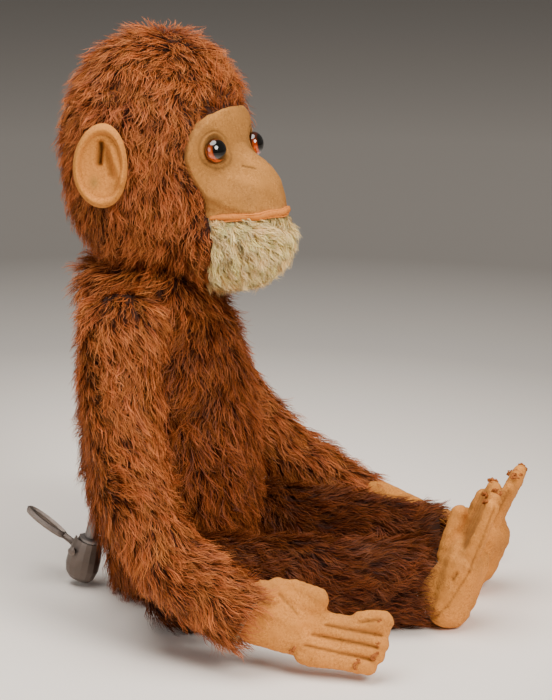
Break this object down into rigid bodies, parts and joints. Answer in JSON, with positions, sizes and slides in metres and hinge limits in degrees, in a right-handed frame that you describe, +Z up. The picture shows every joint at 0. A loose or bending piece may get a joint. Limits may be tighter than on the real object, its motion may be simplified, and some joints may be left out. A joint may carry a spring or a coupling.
{
  "type": "jointed mohair monkey with tail-lever head",
  "caption": "Seated jointed mohair monkey with felt face, hands and feet; a metal tail lever turns and nods the head through a tube and push rod.",
  "frame": {"origin": "middle of the flat base of the torso, on the plane the monkey sits on", "axes": "+Z up, the monkey faces -Y, its right side is at -X"},
  "size_m": [0.1719, 0.2185, 0.2505],
  "materials": {
    "mohair": "long curly cinnamon-brown mohair pile on woven backing",
    "white_mohair": "cream mohair pile, slightly yellowed",
    "felt": "tan wool felt, worn and faintly soiled",
    "piping": "folded felt lip seam, more orange than the mask",
    "glass": "blown glass, amber back painted, black pupil",
    "iron": "pressed sheet iron and wire, browned with age, bright where worn",
    "steel": "plain steel wire and washers",
    "board": "pressed brown board discs",
    "straw": "packed wood-wool stuffing"
  },
  "bodies": {
    "torso": {"torso_skin": "mohair", "torso_stuffing": "straw", "guide_tube": "iron", "neck_plate": "steel", "right_shoulder_body_disc": "board", "right_shoulder_washer": "steel", "right_hip_body_disc": "board", "right_hip_washer": "steel", "left_shoulder_body_disc": "board", "left_shoulder_washer": "steel", "left_hip_body_disc": "board", "left_hip_washer": "steel"},
    "turning_shaft": {"turning_tube": "iron", "neck_collar": "steel", "neck_fork": "iron", "neck_pivot_pin": "steel", "tail_cup": "iron", "cup_bridge": "iron", "tail_rivet": "iron"},
    "push_rod": {"push_rod": "steel"},
    "tail_lever": {"tail_lever": "iron"},
    "head": {"head_skin": "mohair", "head_stuffing": "straw", "head_rocker": "steel", "face_felt": "felt", "chin_patch": "white_mohair", "lip_piping": "piping", "right_eye": "glass", "right_eye_shank": "steel", "left_eye": "glass", "left_eye_shank": "steel", "right_ear": "felt", "left_ear": "felt"},
    "right_arm": {"right_arm_skin": "mohair", "right_arm_stuffing": "straw", "right_hand": "felt", "right_shoulder_limb_disc": "board", "right_shoulder_split_pin": "steel"},
    "right_leg": {"right_leg_skin": "mohair", "right_leg_stuffing": "straw", "right_foot": "felt", "right_hip_limb_disc": "board", "right_hip_split_pin": "steel"},
    "left_arm": {"left_arm_skin": "mohair", "left_arm_stuffing": "straw", "left_hand": "felt", "left_shoulder_limb_disc": "board", "left_shoulder_split_pin": "steel"},
    "left_leg": {"left_leg_skin": "mohair", "left_leg_stuffing": "straw", "left_foot": "felt", "left_hip_limb_disc": "board", "left_hip_split_pin": "steel"}
  },
  "joints": [
    {"name": "right_shoulder", "type": "hinge", "parent": "torso", "child": "right_arm", "pos_m": [-0.02719, 0.01, 0.12521], "axis": [-0.9026, 0, 0.4305], "range_deg": [-50, 60]},
    {"name": "left_shoulder", "type": "hinge", "parent": "torso", "child": "left_arm", "pos_m": [0.02722, 0.01, 0.12513], "axis": [-0.9659, 0, -0.2588], "range_deg": [-1, 40]},
    {"name": "right_hip", "type": "hinge", "parent": "torso", "child": "right_leg", "pos_m": [-0.02311, -0.0136, 0.0205], "axis": [-0.9781, -0.2079, 0], "range_deg": [-85, 20]},
    {"name": "left_hip", "type": "hinge", "parent": "torso", "child": "left_leg", "pos_m": [0.02231, -0.01607, 0.0205], "axis": [-0.9903, 0.1392, 0], "range_deg": [-85, 3]},
    {"name": "head_turn", "type": "hinge", "parent": "torso", "child": "turning_shaft", "pos_m": [0, 0.003, 0.141], "axis": [0, -0.2656, 0.9641], "range_deg": [-15, 55]},
    {"name": "tail_press", "type": "hinge", "parent": "turning_shaft", "child": "tail_lever", "pos_m": [0.00123, 0.04065, 0.01705], "axis": [0.9397, -0.3297, -0.0908], "range_deg": [-18, 18]},
    {"name": "rod_lift", "type": "slide", "parent": "turning_shaft", "child": "push_rod", "axis": [0, -0.2656, 0.9641], "range_m": [-0.0014, 0.0014]},
    {"name": "head_nod", "type": "hinge", "parent": "turning_shaft", "child": "head", "pos_m": [0, -0.00072, 0.1545], "axis": [0.9397, -0.3297, -0.0908], "range_deg": [-15, 15]}
  ],
  "couplings": [
    {"joint": "rod_lift", "follows": "tail_press", "m_per_rad": -0.0036},
    {"joint": "head_nod", "follows": "tail_press", "ratio": -0.7826}
  ]
}
